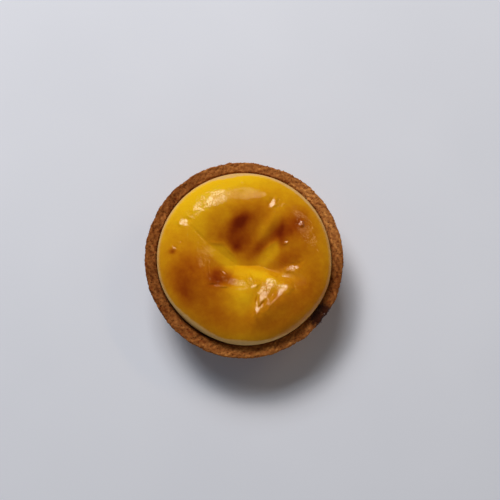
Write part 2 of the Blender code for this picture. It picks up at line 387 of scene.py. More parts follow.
# Chips out of the rim's outer edge: how far from it, their size, and their depth in pits.
EDGE_SPREAD = 1.6 * MM
EDGE_CHIP_SIZE = 2.6 * MM
EDGE_CHIP_EDGE = (0.55, 0.75)
EDGE_CHIP_DEPTH = 1.3

# Loose crumbs lie about the rim's top, within the shell's width, and a few stick to the wall.
CRUMB_HEIGHT = 1.5 * MM
CRUMB_MARGIN = 0.3 * MM
WALL_CRUMBS = 0.12
CRUMBLESS_FOOT = 2.0 * MM
CRUMB_SIZES = {"Crumb": 0.30 * MM, "Crumbs per square mm": 1.3}
SMALLEST_CRUMB = (0.45, 0.45, 0.45)
LARGEST_CRUMB = (1.25, 1.0, 1.0)
# How many lumps a crumb has along its radius, and how far they push it out, in radii.
CRUMB_LUMPS = 1.6
CRUMB_UNEVENNESS = 1.4

# ---------------------------------------------------------------- colour and gloss

# Browning darkens the glaze: its colour is YOLK times TOAST to the power of the browning.
YOLK = (0.80, 0.465, 0.006)
TOAST = (0.205, 0.034, 0.05)
GLAZE_TONES = 9
# How patches change the browning in proportion, and what patches and specks add to it.
PATCH_CONTRAST = 0.5
PATCH_BROWNING = 0.10
SPECK_BROWNING = 0.05

# The bare edge's two creams. The glaze ends raggedly over it, and thins out, all in mm.
CREAM = ((0.74, 0.48, 0.17, 1.0), (0.60, 0.33, 0.09, 1.0))
GLAZE_END_RAGGEDNESS = 0.9
GLAZE_END = (-0.55, 0.35)

# Roughness of the glaze, and what uneven gloss, the bare edge and sunk-in places add to it.
GLAZE_ROUGHNESS = 0.07
UNEVEN_GLOSS = 0.08
CREAM_ROUGHNESS = 0.45
DULL_ROUGHNESS = 0.8

# The glaze's finest relief, and the shares that pores, dimples and fine grain have in it. The
# last two are in grainy places alone.
GLAZE_RELIEF = 0.05 * MM
PORE_SHARE = 0.25
DIMPLE_SHARE = 0.55
DIMPLE_EDGE = (0.44, 0.60)
FINE_GRAIN_SHARE = 0.25

# The crust's colour from scorched, 0, to sandy, 1, and what changes it.
CRUST_TONES = (
    (0.0, (0.085, 0.020, 0.005)),
    (0.2, (0.150, 0.040, 0.009)),
    (0.4, (0.250, 0.083, 0.019)),
    (0.6, (0.365, 0.132, 0.033)),
    (0.8, (0.520, 0.218, 0.055)),
    (1.0, (0.800, 0.365, 0.100)),
)
GRAIN_TONE = 0.48
SAND_TONE = 0.36
BLOTCH_TONE = 0.7
# Painted shade: pits and the gaps between grains are darkened by this much.
HOLLOW_SHADE = 0.12
CRUST_ROUGHNESS = 0.92

# The crust's finest relief, to which dust adds a share.
CRUST_RELIEF = 0.13 * MM
DUST_SHARE = 0.5

# Reddish flecks, which a sandy crust hardly shows.
FLECK_RED = (0.22, 0.038, 0.008, 1.0)
FLECK_EDGE = (0.58, 0.70)
FLECKLESS_PALENESS = 1.1

# Caramel on the burnt place, broken up by blotches and grains, and how it shines.
CARAMEL = (0.034, 0.006, 0.002, 1.0)
CARAMEL_COVER = 0.95
BURNT_BLOTCHES = 0.7
BURNT_GRAINS = 0.9
BURNT_EDGE = (0.30, 0.75)
CARAMEL_COAT = 0.5
CARAMEL_SMOOTHNESS = 0.35

# ---------------------------------------------------------------- sizes of the stage

# The camera, by the place it looks at, with its elevation in degrees.
EYE_TARGET = Vector((0.0021, 0.0035, 0.015))
EYE_DISTANCE = 0.335
EYE_ELEVATION = 81.7
VIEW_WIDTH = 0.178

# Rectangular lights 1 m from the tart: name, azimuth and elevation in degrees, width and height
# in metres, power in watts, whether glossy surfaces mirror it, and colour.
WHITE = (1.0, 1.0, 1.0)
LIGHTS = (
    ("window", (115, 49), (0.215, 0.17), 2.4, True, (1.0, 0.87, 0.76)),
    ("curtain", (93, 51), (0.24, 0.13), 0.42, True, (1.0, 0.76, 0.55)),
    ("right wall", (36, 45), (0.34, 0.06), 0.52, True, (1.0, 0.64, 0.28)),
    ("daylight", (111, 50), (0.55, 0.40), 6.1, False, WHITE),
    ("left fill", (238, 16), (0.8, 0.25), 0.45, False, WHITE),
    ("right fill", (-42, 8), (0.8, 0.20), 1.5, False, WHITE),
)
ROOM_COLOUR = (0.86, 0.92, 1.0, 1.0)
ROOM_STRENGTH = 0.08

# The floor lies a hair under the tart's base.
FLOOR_REACH = 1.5
FLOOR_DROP = 0.05 * MM
FLOOR_COLOURS = ((0.72, 0.77, 0.87, 1.0), (0.78, 0.83, 0.93, 1.0))


# ---------------------------------------------------------------- levels over the tart


def eased(value, low, high):
    """0 at low and 1 at high, with a smooth start and end."""
    share = np.clip((value - low) / (high - low), 0.0, 1.0)
    return share * share * (3 - 2 * share)


def fading(distance, spread):
    """1 at no distance, falling to nothing over a spread."""
    return np.exp(-((distance / spread) ** 2))


def nearness(bearings, centre, spread):
    """1 at a bearing, falling to nothing over a spread on either side of it."""
    return fading((bearings - centre + math.pi) % math.tau - math.pi, spread)


def read_round(degrees, table):
    """Levels read off a table that goes by bearing in degrees."""
    places, levels = zip(*table)
    return np.interp(degrees, places, levels, period=360)


def drift(x, y, size, seed):
    """A smooth uneven field, mostly within -1 and 1, whose lumps are about one size across."""
    draw = np.random.default_rng(seed)
    total = np.zeros_like(x)
    for _ in range(DRIFT_WAVES):
        turn = draw.uniform(0.0, math.tau)
        wave = math.pi / (size * draw.uniform(*DRIFT_SIZES))
        start = draw.uniform(0.0, math.tau)
        total += np.sin((x * math.cos(turn) + y * math.sin(turn)) * wave + start)
    return total / math.sqrt(DRIFT_WAVES)


def oval(x, y, middle, amount, length, width, bearing):
    """A soft oval mark of some amount. Its middle, length and width are in mm."""
    cosine = math.cos(math.radians(bearing))
    sine = math.sin(math.radians(bearing))
    east = x / MM - middle[0]
    north = y / MM - middle[1]
    along = (east * cosine + north * sine) / length
    across = (north * cosine - east * sine) / width
    return amount * np.exp(-(along**2) - across**2)


def marked(x, y, marks, plain=0.0):
    """The sum of some soft oval marks over a plain level."""
    return sum((oval(x, y, *mark) for mark in marks), np.full_like(x, plain))


def raised(height, x, y, marks, share=1.0):
    """A height in metres, raised by a share of some soft oval marks in mm."""
    for mark in marks:
        height = height + oval(x, y, *mark) * share * MM
    return height


# ---------------------------------------------------------------- node trees as Python sums


class Level:
    """A socket that takes part in sums. Each sum adds a Math node."""

    def __init__(self, graph, socket):
        self.graph = graph
        self.socket = socket

    def math(self, operation, *others):
        inputs = dict(enumerate((self, *others)))
        return self.graph.add("ShaderNodeMath", {"operation": operation}, inputs)

    def __add__(self, other):
        return self.math("ADD", other)

    def __sub__(self, other):
        return self.math("SUBTRACT", other)

    def __mul__(self, other):
        return self.math("MULTIPLY", other)

    def __truediv__(self, other):
        return self.math("DIVIDE", other)

    def __pow__(self, other):
        return self.math("POWER", other)

    def __neg__(self):
        return self * -1.0

    def __rsub__(self, other):
        return self * -1.0 + other

    def __rtruediv__(self, other):
        return self**-1.0 * other

    __radd__ = __add__
    __rmul__ = __mul__

    def eased(self, low, high):
        """0 at low and 1 at high, with a smooth start and end."""
        values = {"Value": self, "From Min": low, "From Max": high}
        settings = {"interpolation_type": "SMOOTHSTEP", "clamp": True}
        return self.graph.add("ShaderNodeMapRange", settings, values)

    def clipped(self):
        return self.math("MAXIMUM", 0.0).math("MINIMUM", 1.0)


class Graph:
    """A node tree of a material or of a modifier."""

    def __init__(self, tree):
        self.tree = tree

    def feed(self, node, inputs):
        """Gives a node's sockets their values or links."""
        for name, value in inputs.items():
            if isinstance(value, Level):
                self.tree.links.new(value.socket, node.inputs[name])
            else:
                node.inputs[name].default_value = value

    def node(self, kind, settings=(), inputs=()):
        """A node: its settings are made first, then its sockets take values or links."""
        made = self.tree.nodes.new(kind)
        for name, value in dict(settings).items():
            if name == "stops":
                self.fill_ramp(made.color_ramp, value)
            else:
                setattr(made, name, value)
        self.feed(made, dict(inputs))
        return made

    def add(self, kind, settings=(), inputs=(), output=0):
        """A new node's output, ready for sums."""
        return Level(self, self.node(kind, settings, inputs).outputs[output])

    def fill_ramp(self, ramp, stops):
        """Gives a colour ramp its stops: a place and a colour for each."""
        while len(ramp.elements) > 1:
            ramp.elements.remove(ramp.elements[0])
        ramp.elements[0].position = stops[0][0]
        ramp.elements[0].color = (*stops[0][1], 1.0)
        for place, colour in stops[1:]:
            ramp.elements.new(place).color = (*colour, 1.0)

    def ramp(self, level, stops):
        """The colour that a level has on a ramp of colours."""
        return self.add("ShaderNodeValToRGB", {"stops": stops}, {"Fac": level})

    def mix(self, first, second, share):
        """A colour between two colours."""
        inputs = {0: share, 6: first, 7: second}
        return self.add("ShaderNodeMix", {"data_type": "RGBA"}, inputs, output=2)

    def noise(self, place, size, detail=2.0, rough=0.6):
        """An uneven level about 0.5, with lumps of one size in metres."""
        inputs = {"Vector": place, "Scale": 1 / size, "Detail": detail, "Roughness": rough}
        return self.add("ShaderNodeTexNoise", {}, inputs)

    def uneven(self, place, size, detail=2.0):
        """An uneven level about 0, with lumps of one size in metres."""
        return self.noise(place, size, detail) - 0.5

    def bump(self, height, distance):
        """The surface's normal under a relief of up to one distance."""
        return self.add("ShaderNodeBump", {}, {"Height": height, "Distance": distance})

    def attribute(self, name):
        """A material's reading of a level that the mesh holds for its points."""
        return self.add("ShaderNodeAttribute", {"attribute_name": name}, output="Fac")

    def mesh_level(self, name):
        """A modifier's reading of a level that the mesh holds for its points."""
        settings = {"data_type": "FLOAT"}
        return self.add("GeometryNodeInputNamedAttribute", settings, {"Name": name})

    def times(self, vector, factor):
        """A vector made longer or shorter."""
        inputs = {0: vector, "Scale": factor}
        return self.add("ShaderNodeVectorMath", {"operation": "SCALE"}, inputs)

    def moved(self, geometry, offset):
        """Geometry whose points have moved by an offset."""
        inputs = {"Geometry": geometry, "Offset": offset}
        return self.add("GeometryNodeSetPosition", {}, inputs)


def surface_graph(name):
    """A new material: its graph, its surface node and the place on the object."""
    material = bpy.data.materials.new(name)
    material.use_nodes = True
    graph = Graph(material.node_tree)
    surface = material.node_tree.nodes["Principled BSDF"]
    place = graph.add("ShaderNodeTexCoord", output="Object")
    return material, graph, surface, place


def skin_graph(name, sizes):
    """A new geometry tree with named sizes: its graph, and what it is given, by name."""
    tree = bpy.data.node_groups.new(name, "GeometryNodeTree")
    graph = Graph(tree)
    sockets = tree.interface
    sockets.new_socket("Geometry", in_out="INPUT", socket_type="NodeSocketGeometry")
    sockets.new_socket("Material", in_out="INPUT", socket_type="NodeSocketMaterial")
    for label, size in sizes.items():
        socket = sockets.new_socket(label, in_out="INPUT", socket_type="NodeSocketFloat")
        socket.default_value = size
    sockets.new_socket("Geometry", in_out="OUTPUT", socket_type="NodeSocketGeometry")
    given = {s.name: Level(graph, s) for s in graph.node("NodeGroupInput").outputs}
    return graph, given


def finish_skin(graph, geometry, material):
    """Ends a geometry tree: every instance becomes real and takes the material."""
    whole = graph.add("GeometryNodeRealizeInstances", {}, {"Geometry": geometry})
    inputs = {"Geometry": whole, "Material": material}
    result = graph.add("GeometryNodeSetMaterial", {}, inputs)
    graph.node("NodeGroupOutput", {}, {"Geometry": result})
    return graph.tree


# ---------------------------------------------------------------- materials


def glaze_stops():
    """The glaze's colours from raw to browned through and through."""
    stops = []
    for browning in np.linspace(0.0, 1.0, GLAZE_TONES):
        colour = tuple(y * t**browning for y, t in zip(YOLK, TOAST))
        stops.append((float(browning), colour))
    return stops


def custard_material():
    material, graph, surface, place = surface_graph("baked custard with egg glaze")
    patches = graph.uneven(place, 2.6 * MM, detail=3.0)
    specks = graph.uneven(place, 0.7 * MM)
    browning = graph.attribute("browning") * (1 + patches * PATCH_CONTRAST)
    browning = browning + patches * PATCH_BROWNING + specks * SPECK_BROWNING
    glaze = graph.ramp(browning.clipped(), glaze_stops())

    ragged = graph.uneven(place, 1.6 * MM, detail=3.0)
    bare = graph.attribute("bare_edge") / MM + ragged * GLAZE_END_RAGGEDNESS
    cream_share = bare.eased(*GLAZE_END)
    cream_tone = graph.noise(place, 1.1 * MM, detail=3.0)
    colour = graph.mix(glaze, graph.mix(*CREAM, cream_tone), cream_share)

    gloss = graph.noise(place, 2.4 * MM, rough=0.5)
    roughness = GLAZE_ROUGHNESS + gloss * UNEVEN_GLOSS
    roughness = roughness + cream_share * CREAM_ROUGHNESS
    roughness = roughness + graph.attribute("dull") * DULL_ROUGHNESS

    pores = graph.noise(place, 0.35 * MM, rough=0.5) * PORE_SHARE
    dimples = graph.noise(place, 0.85 * MM, detail=1.0, rough=0.5).eased(*DIMPLE_EDGE)
    fine_grain = graph.noise(place, 0.5 * MM, detail=0.0, rough=0.5)
    grain = dimples * DIMPLE_SHARE + fine_grain * FINE_GRAIN_SHARE
    relief = pores + grain * graph.attribute("grainy")
    looks = {
        "Base Color": colour,
        "Roughness": roughness,
        "Specular IOR Level": 0.28,
        "Subsurface Weight": 0.05,
        "Subsurface Radius": (1.0, 0.5, 0.1),
        "Subsurface Scale": 1.2 * MM,
        "Normal": graph.bump(relief, GLAZE_RELIEF),
    }
    graph.feed(surface, looks)
    return material


def crust_material():
    material, graph, surface, place = surface_graph("sandy baked shortcrust")
    grains = graph.uneven(place, 0.95 * MM)
    sand = graph.uneven(place, 0.40 * MM)
    blotches = graph.uneven(place, 5.0 * MM, detail=3.0)
    # Paleness by bearing: partly the crust's own tone, partly painted light on its shaded side.
    bake = graph.attribute("bake")
    tone = bake + grains * GRAIN_TONE + sand * SAND_TONE + blotches * BLOTCH_TONE
    # Painted shade darkens the pits and the gaps between grains.
    tone = tone - graph.attribute("hollow") * HOLLOW_SHADE
    baked = graph.ramp(tone.clipped(), CRUST_TONES)
    flecks = graph.noise(place, 1.3 * MM).eased(*FLECK_EDGE) * (FLECKLESS_PALENESS - bake)
    speckled = graph.mix(baked, FLECK_RED, flecks)

    burnt = graph.attribute("burnt") + blotches * BURNT_BLOTCHES + grains * BURNT_GRAINS
    burnt_share = burnt.eased(*BURNT_EDGE)
    colour = graph.mix(speckled, CARAMEL, burnt_share * CARAMEL_COVER)
    relief = grains + sand + graph.noise(place, 0.22 * MM) * DUST_SHARE
    looks = {
        "Base Color": colour,
        "Roughness": CRUST_ROUGHNESS - burnt_share * CARAMEL_SMOOTHNESS,
        "Coat Weight": burnt_share * CARAMEL_COAT,
        "Coat Roughness": 0.22,
        "Specular IOR Level": 0.06,
        "Normal": graph.bump(relief, CRUST_RELIEF),
    }
    graph.feed(surface, looks)
    return material


# ---------------------------------------------------------------- meshes


def ring_mesh(name, rings, first_pole, last_pole, attributes):
    """A smooth closed mesh through the rings in order, with a fan at each end.

    The attributes give one level for each point, ring by ring, and one for each pole.
    """
    count = len(rings[0])
    points = np.concatenate([*rings, [first_pole], [last_pole]])
    first = len(points) - 2
    last = len(points) - 1
    along = np.arange(count)
    beside = (along + 1) % count
    faces = []
    for ring in range(len(rings) - 1):
        low = ring * count
        high = low + count
        quads = (low + along, low + beside, high + beside, high + along)
        faces += np.stack(quads, axis=1).tolist()
    end = (len(rings) - 1) * count
    faces += [(first, j, i) for i, j in zip(along.tolist(), beside.tolist())]
    faces += [(last, end + i, end + j) for i, j in zip(along.tolist(), beside.tolist())]
    data = bpy.data.meshes.new(name)
    data.from_pydata(points.tolist(), [], faces)
    for label, (levels, first_level, last_level) in attributes.items():
        layer = data.attributes.new(label, "FLOAT", "POINT")
        layer.data.foreach_set("value", np.append(levels, (first_level, last_level)))
    data.shade_smooth()
    return data


def new_object(name, data):
    made = bpy.data.objects.new(name, data)
    bpy.context.scene.collection.objects.link(made)
    return made


def run_tree(piece, tree, material):
    """Runs a geometry tree on a piece and keeps the result as its plain mesh."""
    modifier = piece.modifiers.new(tree.name, "NODES")
    modifier.node_group = tree
    modifier[tree.interface.items_tree["Material"].identifier] = material
    shapes = bpy.context.evaluated_depsgraph_get()
    data = bpy.data.meshes.new_from_object(
        piece.evaluated_get(shapes), preserve_all_data_layers=True, depsgraph=shapes
    )
    piece.modifiers.clear()
    piece.data = data


# ---------------------------------------------------------------- shell


def crag_wave(bearings, seed, turn):
    """A closed rough line round the shell, within -1 and 1, that changes with turn."""
    draw = np.random.default_rng(seed)
    total = np.zeros_like(bearings)
    most = 0.0
    for waves in CRAG_WAVES:
        share = draw.uniform(*CRAG_SHARES) / waves**CRAG_FADE
        phase = draw.uniform(0.0, math.tau)
        shift = draw.uniform(-1.0, 1.0)
        total += share * np.sin(waves * bearings + phase + shift * turn)
        most += share
    return total / most


def wall_radius(height):
    """The outside wall's radius at a height."""
    foot = BASE_RADIUS + BASE_CORNER
    return foot + (RIM_RADIUS - foot) * (height - BASE_CORNER) / (RIM_HEIGHT - BASE_CORNER)


def cavity_radius(height):
    """The inside wall's radius at a height."""
    return wall_radius(height) - RIM_WIDTH


def arc(centre, radius, start, end, steps):
    """Points along an arc of the section, from one angle in degrees to another."""
    angles = np.radians(np.linspace(start, end, steps))
    return [(centre[0] + radius * math.cos(a), centre[1] + radius * math.sin(a)) for a in angles]


def shell_profile():
    """The shell's section from under its base, up outside and down inside.

    Each station is a radius, a height, and its share of the crags.
    """
    crown = RIM_HEIGHT - RIM_ROUNDING
    outer_turn = (RIM_RADIUS - RIM_ROUNDING, crown)
    inner_crown = RIM_HEIGHT - INNER_ROUNDING
    inner_turn = (RIM_RADIUS - RIM_WIDTH + INNER_ROUNDING, inner_crown)
    corner_height = FLOOR_THICKNESS + CAVITY_CORNER
    cavity_turn = (cavity_radius(corner_height) - CAVITY_CORNER, corner_height)
    seen_bottom = RIM_HEIGHT - SEEN_INSIDE
    wall = np.arange(WALL_START, crown - RIM_ROUNDING / 2, CRUST_STEP)
    top = np.linspace(outer_turn[0] - RIM_INSET, inner_turn[0] + RIM_INSET, RIM_STEPS)
    seen = np.arange(inner_crown - CRUST_STEP / 2, seen_bottom, -CRUST_STEP)
    unseen = np.linspace(seen_bottom, corner_height, UNSEEN_STEPS)
    foot = arc((BASE_RADIUS, BASE_CORNER), BASE_CORNER, -85, -2, 9)
    base = np.linspace(SMALLEST_RING, BASE_RADIUS, BASE_STEPS)

    stations = [(radius, 0.0, 0.0) for radius in base]
    stations += [(*p, FOOT_CRAGS) for p in foot]
    stations += [(wall_radius(height), height, WALL_CRAGS) for height in wall]
    stations += [(*p, 1.0) for p in arc(outer_turn, RIM_ROUNDING, 5, 85, 6)]
    stations += [(radius, RIM_HEIGHT, 1.0) for radius in top]
    stations += [(*p, INNER_EDGE_CRAGS) for p in arc(inner_turn, INNER_ROUNDING, 95, 170, 5)]
    stations += [(cavity_radius(height), height, 0.0) for height in (*seen, *unseen)]
    stations += [(*p, 0.0) for p in arc(cavity_turn, CAVITY_CORNER, -25, -90, 4)]
    return stations


def rim_sway(bearings):
    """How far the rim stands out of round."""
    return sum(reach * np.cos(waves * (bearings - crest)) for waves, reach, crest in RIM_SWAY)


def shell_ring(bearings, radius, height, crags):
    """The shell's points round one station of its section."""
    turn = CRAG_LEAN * height / RIM_HEIGHT
    at_rim = eased(height, RIM_HEIGHT - CRAG_ZONE, RIM_HEIGHT)
    outside = eased(radius, RIM_RADIUS - RIM_WIDTH, RIM_RADIUS)
    chip = CHIP_DEPTH * nearness(bearings, CHIP_BEARING, CHIP_SPREAD) * at_rim
    depth = WALL_CRAG_DEPTH + (RIM_CRAG_DEPTH - WALL_CRAG_DEPTH) * at_rim
    reach = depth * crag_wave(bearings, CRAG_SEED, turn) - chip * outside
    rise = RIM_CRAG_DEPTH * at_rim * crag_wave(bearings, CRAG_SEED + 1, turn) - chip
    around = radius + rim_sway(bearings) * outside + crags * reach
    heights = height + crags * rise
    return np.stack((around * np.cos(bearings), around * np.sin(bearings), heights), axis=1)


def rim_tone(bearings, radius, height):
    """How pale the crust is round one station of the section, with the rim's streaks. The
    paleness is partly painted light on the shaded side.
    """
    tone = read_round(np.degrees(bearings), PALENESS)
    across = (radius - RIM_RADIUS - (height - RIM_HEIGHT)) / RIM_WIDTH
    on_rim = eased(height, RIM_HEIGHT - STREAKS_END, RIM_HEIGHT - STREAKS_WHOLE)
    for around, over, strength in STREAKS:
        wander = STREAK_WANDER * np.sin(STREAK_WANDERINGS * bearings + around)
        streak = np.sin(around * bearings + math.tau * over * across + wander)
        tone = tone + strength * on_rim * streak
    return tone


def shell_marks(bearings, profile, rings):
    """What the crust's skin and material read: a level for each point, ring by ring."""
    scorched = nearness(bearings, SCORCH_BEARING, SCORCH_SPREAD)
    singed = SINGE_SHARE * nearness(bearings, CHIP_BEARING, SINGE_SPREAD)
    marks = {name: [] for name in ("rough", "edge", "burnt", "bake", "crumbly")}
    for (radius, height, _), ring in zip(profile, rings):
        outside = radius > wall_radius(height) - OUTSIDE_WIDTH
        if outside:
            roughness = BASE_ROUGHNESS + (1 - BASE_ROUGHNESS) * eased(height, 0.0, FOOT_HEIGHT)
        else:
            roughness = eased(height, RIM_HEIGHT - SKIN_END, RIM_HEIGHT - SKIN_WHOLE)
        marks["rough"].append(np.full_like(bearings, roughness))

        from_corner = math.hypot(radius - RIM_RADIUS, height - RIM_HEIGHT)
        marks["edge"].append(np.full_like(bearings, fading(from_corner, EDGE_SPREAD)))

        outer = eased(radius, RIM_RADIUS - SCORCH_END, RIM_RADIUS - SCORCH_WHOLE)
        near_top = fading(height - RIM_HEIGHT, SCORCH_HEIGHT)
        marks["burnt"].append((scorched * outer + singed) * near_top)
        marks["bake"].append(rim_tone(bearings, radius, height))

        on_wall = WALL_CRUMBS * (height > CRUMBLESS_FOOT) * outside
        inside_box = np.hypot(ring[:, 0], ring[:, 1]) < RIM_RADIUS - CRUMB_MARGIN
        on_top = fading(height - RIM_HEIGHT, CRUMB_HEIGHT)
        marks["crumbly"].append((on_top + on_wall) * inside_box)
    return {name: np.concatenate(levels) for name, levels in marks.items()}


def crumbly_skin():
    """Geometry nodes: sinks pits and grain gaps into a surface, and marks them for painted shade.
    """
    graph, given = skin_graph("crumbly skin", CRUMBLY_SIZES)
    place = graph.add("GeometryNodeInputPosition")
    normal = graph.add("GeometryNodeInputNormal")
    rough = graph.mesh_level("rough")

    cells = {"Vector": place, "Scale": 1 / given["Grain"], "Detail": 1.0}
    gaps = graph.add("ShaderNodeTexVoronoi", {"normalize": False}, cells)
    pits = graph.noise(place, given["Pit"]).eased(*PIT_EDGE)
    chips = graph.noise(place, EDGE_CHIP_SIZE).eased(*EDGE_CHIP_EDGE) * graph.mesh_level("edge")
    worn = given["Grain depth"] * gaps * gaps
    depth = (worn + given["Pit depth"] * (pits + chips * EDGE_CHIP_DEPTH)) * rough
    # The crust's painted shade: where the pits and the gaps between grains are.
    hollow = ((gaps * gaps) * GAP_SHADE + pits + chips).clipped() * rough
    kept = graph.add(
        "GeometryNodeStoreNamedAttribute",
        {"data_type": "FLOAT", "domain": "POINT"},
        {"Geometry": given["Geometry"], "Name": "hollow", "Value": hollow},
    )
    return finish_skin(graph, graph.moved(kept, graph.times(normal, -depth)), given["Material"])


def loose_crumbs():
    """Geometry nodes: crumbs alone, stuck to a surface where it is marked as crumbly."""
    graph, given = skin_graph("loose crumbs", CRUMB_SIZES)
    density = given["Crumbs per square mm"] * graph.mesh_level("crumbly") / (MM * MM)
    spread = {"Mesh": given["Geometry"], "Density": density, "Seed": 5}
    points = graph.add("GeometryNodeDistributePointsOnFaces", {}, spread)
    vector = {"data_type": "FLOAT_VECTOR"}
    turns = {"Min": (0, 0, 0), "Max": (math.tau, math.tau, math.tau), "Seed": 1}
    turn = graph.add("FunctionNodeRandomValue", vector, turns)
    scales = {"Min": SMALLEST_CRUMB, "Max": LARGEST_CRUMB, "Seed": 2}
    scale = graph.add("FunctionNodeRandomValue", vector, scales)
    ball = {"Radius": given["Crumb"], "Subdivisions": 1}
    grain = graph.add("GeometryNodeMeshIcoSphere", {}, ball)
    placed = {"Points": points, "Instance": grain, "Rotation": turn, "Scale": scale}
    crumbs = graph.add("GeometryNodeInstanceOnPoints", {}, placed)
    whole = graph.add("GeometryNodeRealizeInstances", {}, {"Geometry": crumbs})

    place = graph.add("GeometryNodeInputPosition")
    lumps = {"Vector": place, "Scale": CRUMB_LUMPS / given["Crumb"], "Detail": 1.0}
    field = graph.add("ShaderNodeTexNoise", {}, lumps, output="Color")
    centring = {0: field, 1: (0.5, 0.5, 0.5)}
    push = graph.add("ShaderNodeVectorMath", {"operation": "SUBTRACT"}, centring)
    shift = graph.times(push, given["Crumb"] * CRUMB_UNEVENNESS)
    return finish_skin(graph, graph.moved(whole, shift), given["Material"])


def make_crust(material):
    bearings = np.linspace(0, math.tau, CRUST_SEGMENTS, endpoint=False)
    profile = shell_profile()
    rings = [shell_ring(bearings, *station) for station in profile]
    marks = shell_marks(bearings, profile, rings)
    poles = {"rough": (BASE_ROUGHNESS, 0.0), "bake": (0.5, 0.5)}
    attributes = {name: (levels, *poles.get(name, (0.0, 0.0))) for name, levels in marks.items()}
    data = ring_mesh("crust", rings, (0, 0, 0), (0, 0, FLOOR_THICKNESS), attributes)
    piece = new_object("crust", data)
    run_tree(piece, crumbly_skin(), material)
    return piece


def make_crumbs(crust, material):
    piece = new_object("crumbs", crust.data.copy())
    piece.data.materials.clear()
    run_tree(piece, loose_crumbs(), material)
    piece.data.name = "crumbs"
    return piece


# ---------------------------------------------------------------- custard


def custard_outline(bearings):
    """The shoulder's radius, round the custard's own centre."""
    flat = nearness(bearings, FLAT_SIDE_BEARING, FLAT_SIDE_SPREAD)
    lean = nearness(bearings, LEAN_BEARING, LEAN_SPREAD)
    return CUSTARD_RADIUS - FLAT_SIDE_DEPTH * flat + LEAN_DEPTH * lean


def facet_slope(degrees):
    """How steeply the basin climbs from the crease along a bearing."""
    slope = np.zeros_like(degrees)
    following = FACET_EDGES[1:] + FACET_EDGES[:1]
    for (start, first), (end, second) in zip(FACET_EDGES, following):
        span = math.radians((end - start) % 360)
        along = np.radians((degrees - start) % 360)
        tilt = (first * np.sin(span - along) + second * np.sin(along)) / math.sin(span)
        slope = np.where(along < span, tilt, slope)
    return slope


def basin_reach(degrees):
    """How far the sunken ground runs from the crease along a bearing, in metres."""
    offsets = np.linspace(-REACH_SPREAD, REACH_SPREAD, REACH_READINGS)
    readings = [read_round(degrees + offset, BASIN_REACH) for offset in offsets]
    return np.mean(readings, axis=0) * MM


def overhang(distance):
    """How far a distance is past zero, with a soft start."""
    return (distance + np.sqrt(distance**2 + CREASE_SOFTNESS**2)) / 2


def basin_sink(x, y):
    """How far the custard's top has sunk under the full dome at a point."""
    along = x - BASIN_MIDDLE[0]
    east = overhang(along - CREASE_HALF_LENGTH) - overhang(-along - CREASE_HALF_LENGTH)
    north = y - BASIN_MIDDLE[1]
    degrees = np.degrees(np.arctan2(north, east)) % 360
    offsets = (-FACET_EDGE_SPREAD, 0.0, FACET_EDGE_SPREAD)
    slope = np.mean([facet_slope((degrees + offset) % 360) for offset in offsets], axis=0)
    reach = basin_reach(degrees)
    share = np.clip(np.hypot(east, north) / reach, 0.0, 1.0)
    brow = np.maximum(slope * reach / BASIN_DEPTH, SHARPEST_BROW)
    return BASIN_DEPTH * (1 - share) ** brow


def custard_height(x, y):
    """Height of the custard's top over the base, with its pimples."""
    east = x - CUSTARD_CENTRE[0]
    north = y - CUSTARD_CENTRE[1]
    share = np.hypot(east, north) / custard_outline(np.arctan2(north, east))
    full = np.sqrt(np.clip(1 - share**DOME_FULLNESS, 0.0, 1.0))
    height = SHOULDER_HEIGHT + DOME_RISE * full - basin_sink(x, y)
    height = raised(height, x, y, SWELLINGS, eased(full, 0.0, SWELLINGS_WHOLE))
    pimples = [(middle, rise, radius, radius, 0) for middle, radius, rise in PIMPLES]
    return raised(height, x, y, pimples)


def pulled_height(x, y):
    """Height of the custard's top where the glaze has pulled it."""
    return raised(custard_height(x, y), x, y, PULLS)


def taut_height(x, y):
    """Height of the custard's top with its glassy flats pulled taut and its small folds."""
    height = pulled_height(x, y)
    ragged_x = drift(x, y, FLAT_LUMPS, seed=11) * FLAT_RAGGEDNESS * MM
    ragged_y = drift(x, y, FLAT_LUMPS, seed=12) * FLAT_RAGGEDNESS * MM
    for touch, climb, ovals in FLATS:
        touch_x, touch_y = np.array(touch)[:, None] * MM
        level = pulled_height(touch_x, touch_y)
        plane = level + climb[0] * (x - touch_x) + climb[1] * (y - touch_y)
        slack = np.ones_like(x)
        for middle, length, width, bearing in ovals:
            reach = COUNTED_WIDTH if width > WIDE_FLAT else width
            place = (x + ragged_x * reach, y + ragged_y * reach)
            slack *= 1 - eased(oval(*place, middle, 1.0, length, width, bearing), *FLAT_EDGE)
        height = plane + (height - plane) * slack
    return raised(height, x, y, FOLDS)


def browning_at(x, y):
    """How brown the glaze is, from 0 to about 1."""
    shifted_x = x + drift(x, y, BROWNING_LUMPS, seed=3) * BROWNING_SHIFT
    shifted_y = y + drift(x, y, BROWNING_LUMPS, seed=4) * BROWNING_SHIFT
    total = marked(shifted_x, shifted_y, BROWNING, PLAIN_BROWNING)
    for middle, amount, length, width, bearing in YELLOW_CHEEKS:
        total *= 1 - amount * eased(oval(x, y, middle, 1.0, length, width, bearing), *CHEEK_EDGE)
    return total


